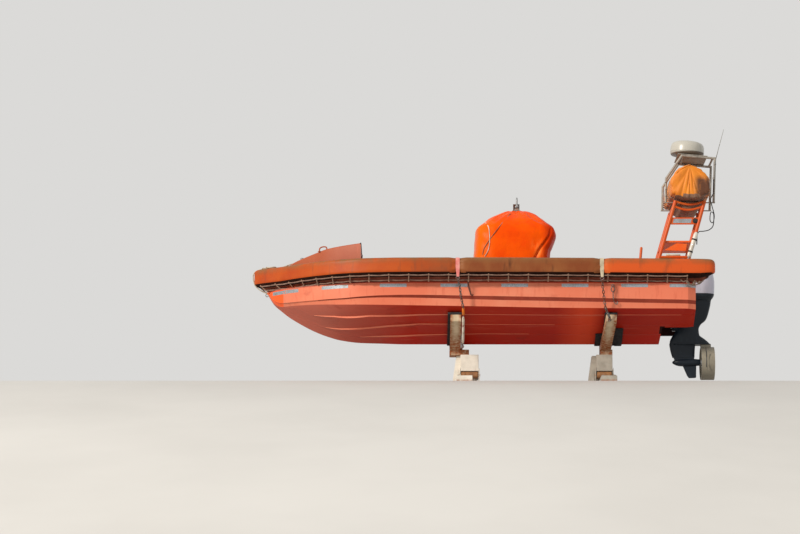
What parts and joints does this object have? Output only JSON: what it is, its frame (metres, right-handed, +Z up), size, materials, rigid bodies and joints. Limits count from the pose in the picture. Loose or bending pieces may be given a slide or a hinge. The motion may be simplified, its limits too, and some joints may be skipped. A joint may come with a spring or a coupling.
{
  "type": "open rescue boat with outboard motor on a stowage cradle",
  "caption": "Open V-hull rescue boat with a foam fender collar, covered console, aft mast with self-righting bag, and outboard, in its cradle.",
  "frame": {"origin": "floor under the cradle, on the centreline, at the middle of the overall length", "axes": "+X towards the bow, +Y to port, +Z up"},
  "size_m": [6.6238, 2.464, 3.6608],
  "materials": {
    "gelcoat": "gloss orange-red gelcoat on glass fibre, weathered to salmon",
    "fender_orange": "matt orange coated fabric over foam, grimy at the seams",
    "fender_brown": "matt coated fabric over foam, sun-faded to tan",
    "cover_fabric": "glossy coated tarpaulin",
    "bag_fabric": "satin coated fabric with a brown stain",
    "mast_paint": "gloss orange paint on tube",
    "rope": "grimy laid rope",
    "deck_grip": "non-slip moulded deck",
    "white_plastic": "off-white moulding",
    "bottle_paint": "off-white paint on a steel bottle",
    "cradle_paint": "beige and white paint, rusted at the edges",
    "chain_rust": "rusty chain and turnbuckle",
    "pad_rubber": "black rubber",
    "motor_dark": "satin navy-black paint",
    "cowl_grey": "gloss light grey moulding",
    "engine_block": "plain block that stands for the engine",
    "guard_beige": "faded grey-beige moulding",
    "bare_aluminium": "satin aluminium tube and plate",
    "strap_red": "faded red webbing",
    "strap_beige": "weathered beige webbing",
    "galvanised": "galvanised steel with rust spots"
  },
  "bodies": {
    "root": {"hull": "gelcoat", "cockpit_deck": "deck_grip", "foredeck_casing": "gelcoat", "fender_bow": "fender_orange", "console_cover": "cover_fabric", "lifting_link": "galvanised", "mast_cross_fore": "mast_paint", "mast_cross_aft": "mast_paint", "mast_shelf": "mast_paint", "righting_bag": "bag_fabric", "radar_frame": "bare_aluminium", "radar_plate": "bare_aluminium", "radome": "white_plastic", "whip_antenna": "white_plastic", "inflation_bottle": "bottle_paint", "tow_post": "mast_paint", "clamp_bracket": "motor_dark", "cradle_fore": "cradle_paint", "cradle_aft": "cradle_paint", "coaming_port": "gelcoat", "fender_middle_port": "fender_brown", "fender_aft_port": "fender_orange", "grab_line_port": "rope", "mast_side_port": "mast_paint", "cradle_pad_fore_port": "pad_rubber", "gripe_strap_fore_port": "strap_red", "gripe_chain_fore_port": "chain_rust", "cradle_pad_aft_port": "pad_rubber", "gripe_strap_aft_port": "strap_beige", "gripe_chain_aft_port": "chain_rust", "coaming_starboard": "gelcoat", "fender_middle_starboard": "fender_brown", "fender_aft_starboard": "fender_orange", "grab_line_starboard": "rope", "mast_side_starboard": "mast_paint", "cradle_pad_fore_starboard": "pad_rubber", "gripe_strap_fore_starboard": "strap_red", "gripe_chain_fore_starboard": "chain_rust", "cradle_pad_aft_starboard": "pad_rubber", "gripe_strap_aft_starboard": "strap_beige", "gripe_chain_aft_starboard": "chain_rust"},
    "outboard_swivel": {"swivel_bracket": "motor_dark"},
    "outboard_motor": {"motor_leg": "motor_dark", "motor_cowl": "cowl_grey", "powerhead": "engine_block", "propeller_guard": "guard_beige"},
    "propeller": {"propeller": "galvanised"}
  },
  "joints": [
    {"name": "outboard_tilt", "type": "hinge", "parent": "root", "child": "outboard_swivel", "pos_m": [-2.5101, 0, 1.236], "axis": [0, 1, 0], "range_deg": [0, 65]},
    {"name": "outboard_steer", "type": "hinge", "parent": "outboard_swivel", "child": "outboard_motor", "pos_m": [-2.5981, 0, 1], "axis": [0, 0, 1], "range_deg": [-30, 30]},
    {"name": "propeller_spin", "type": "hinge", "parent": "outboard_motor", "child": "propeller", "pos_m": [-3.0211, 0, 0.392], "axis": [1, 0, 0], "continuous": true}
  ]
}
